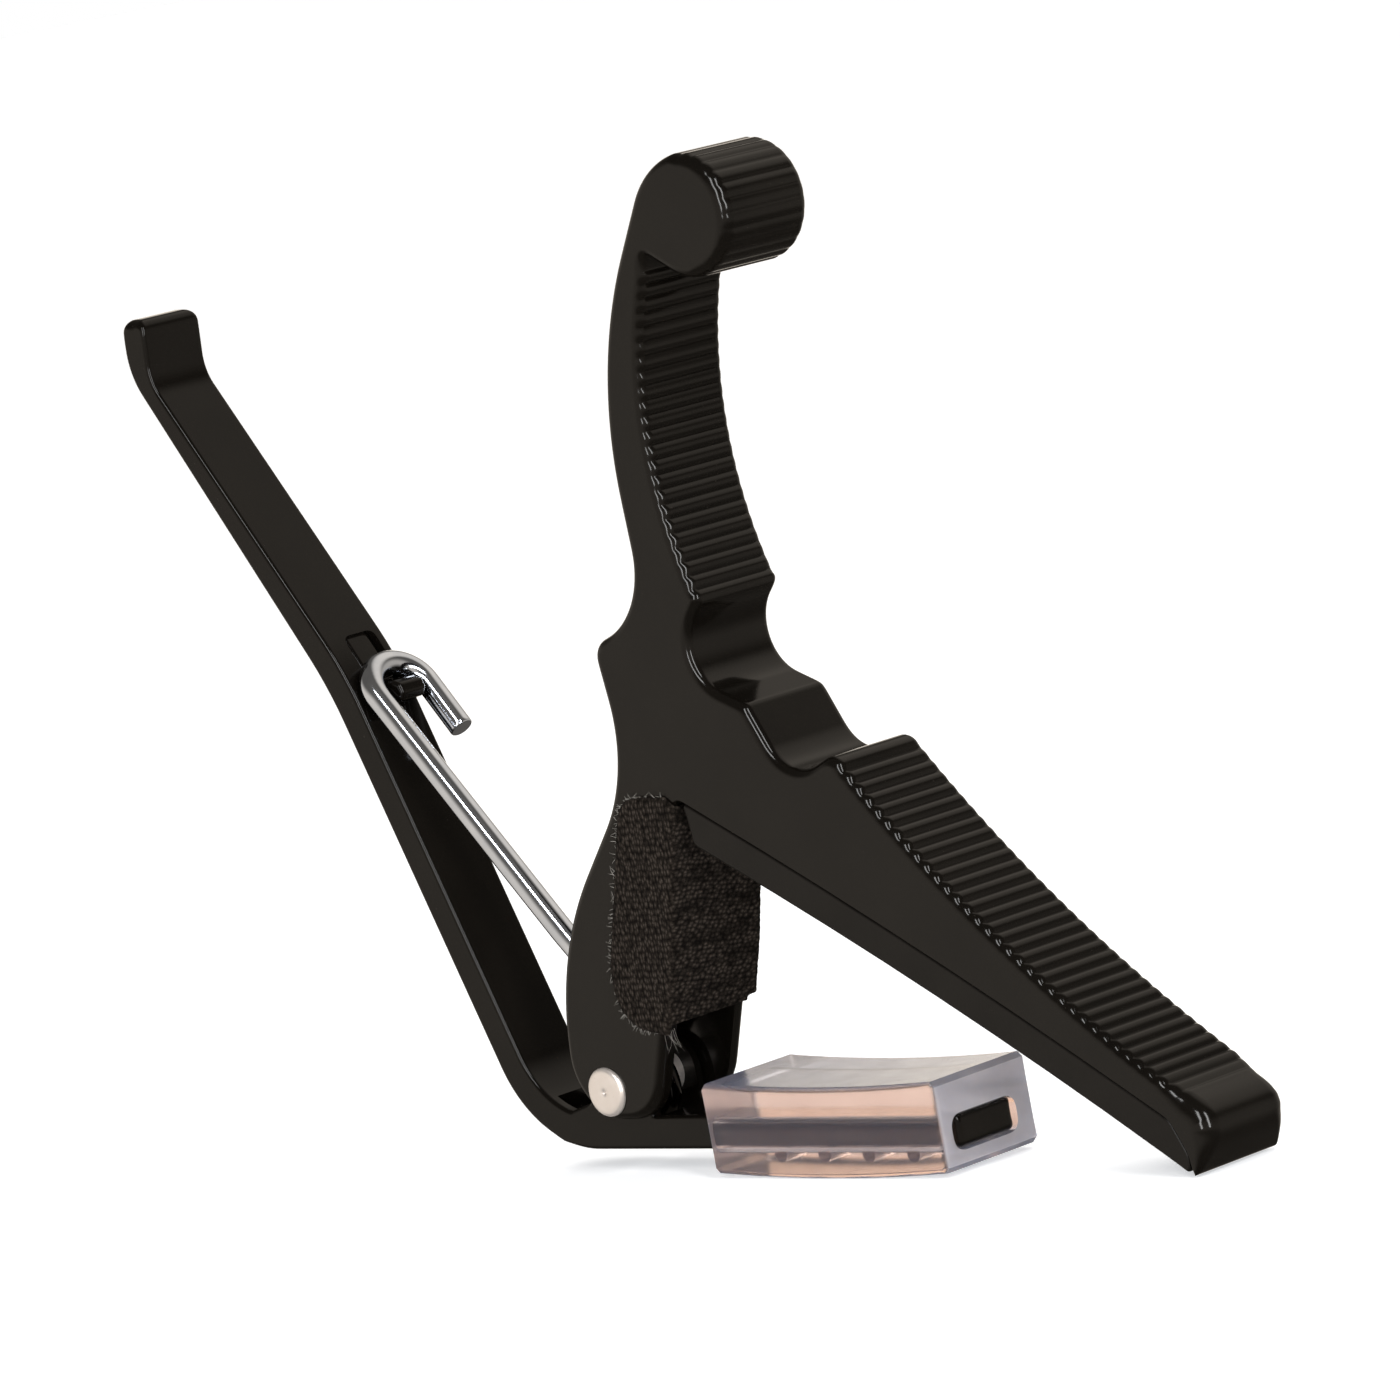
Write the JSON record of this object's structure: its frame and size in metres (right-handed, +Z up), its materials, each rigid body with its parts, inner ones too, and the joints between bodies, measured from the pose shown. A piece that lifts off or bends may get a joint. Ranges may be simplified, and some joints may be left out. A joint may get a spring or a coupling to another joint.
{
  "type": "guitar capo",
  "caption": "Spring-lever capo: cast body with ribbed handle and padded neck arm, pivoting lever with a sleeved string bar.",
  "frame": {"origin": "on the table, under the middle of the outline box; the flat underside of the string bar's sleeve is at Z = 0", "axes": "+Z up, +X along the string bar from the pivot to its free end, +Y across the jaws along the pivot pin"},
  "size_m": [0.1482, 0.0142, 0.1101],
  "materials": {
    "black_paint": "gloss black powder coat on cast and bent metal",
    "pad_rubber": "smooth satin black rubber",
    "felt": "black woven pile with a frayed edge",
    "steel": "bright nickel-plated steel",
    "silicone": "soft milky translucent silicone"
  },
  "bodies": {
    "casting": {"body_casting": "black_paint", "neck_pad": "pad_rubber", "leg_felt": "felt", "pivot_pin": "steel"},
    "jaw_lever": {"lever": "black_paint", "string_sleeve": "silicone", "torsion_spring": "steel"}
  },
  "joints": [
    {"name": "squeeze", "type": "hinge", "parent": "jaw_lever", "child": "casting", "pos_m": [-0.01447, 0, 0.00965], "axis": [0, -1, 0], "range_deg": [0, 34], "stiffness_Nm_per_rad": 5, "springref_deg": -20.05, "deforming": ["torsion_spring"]}
  ]
}
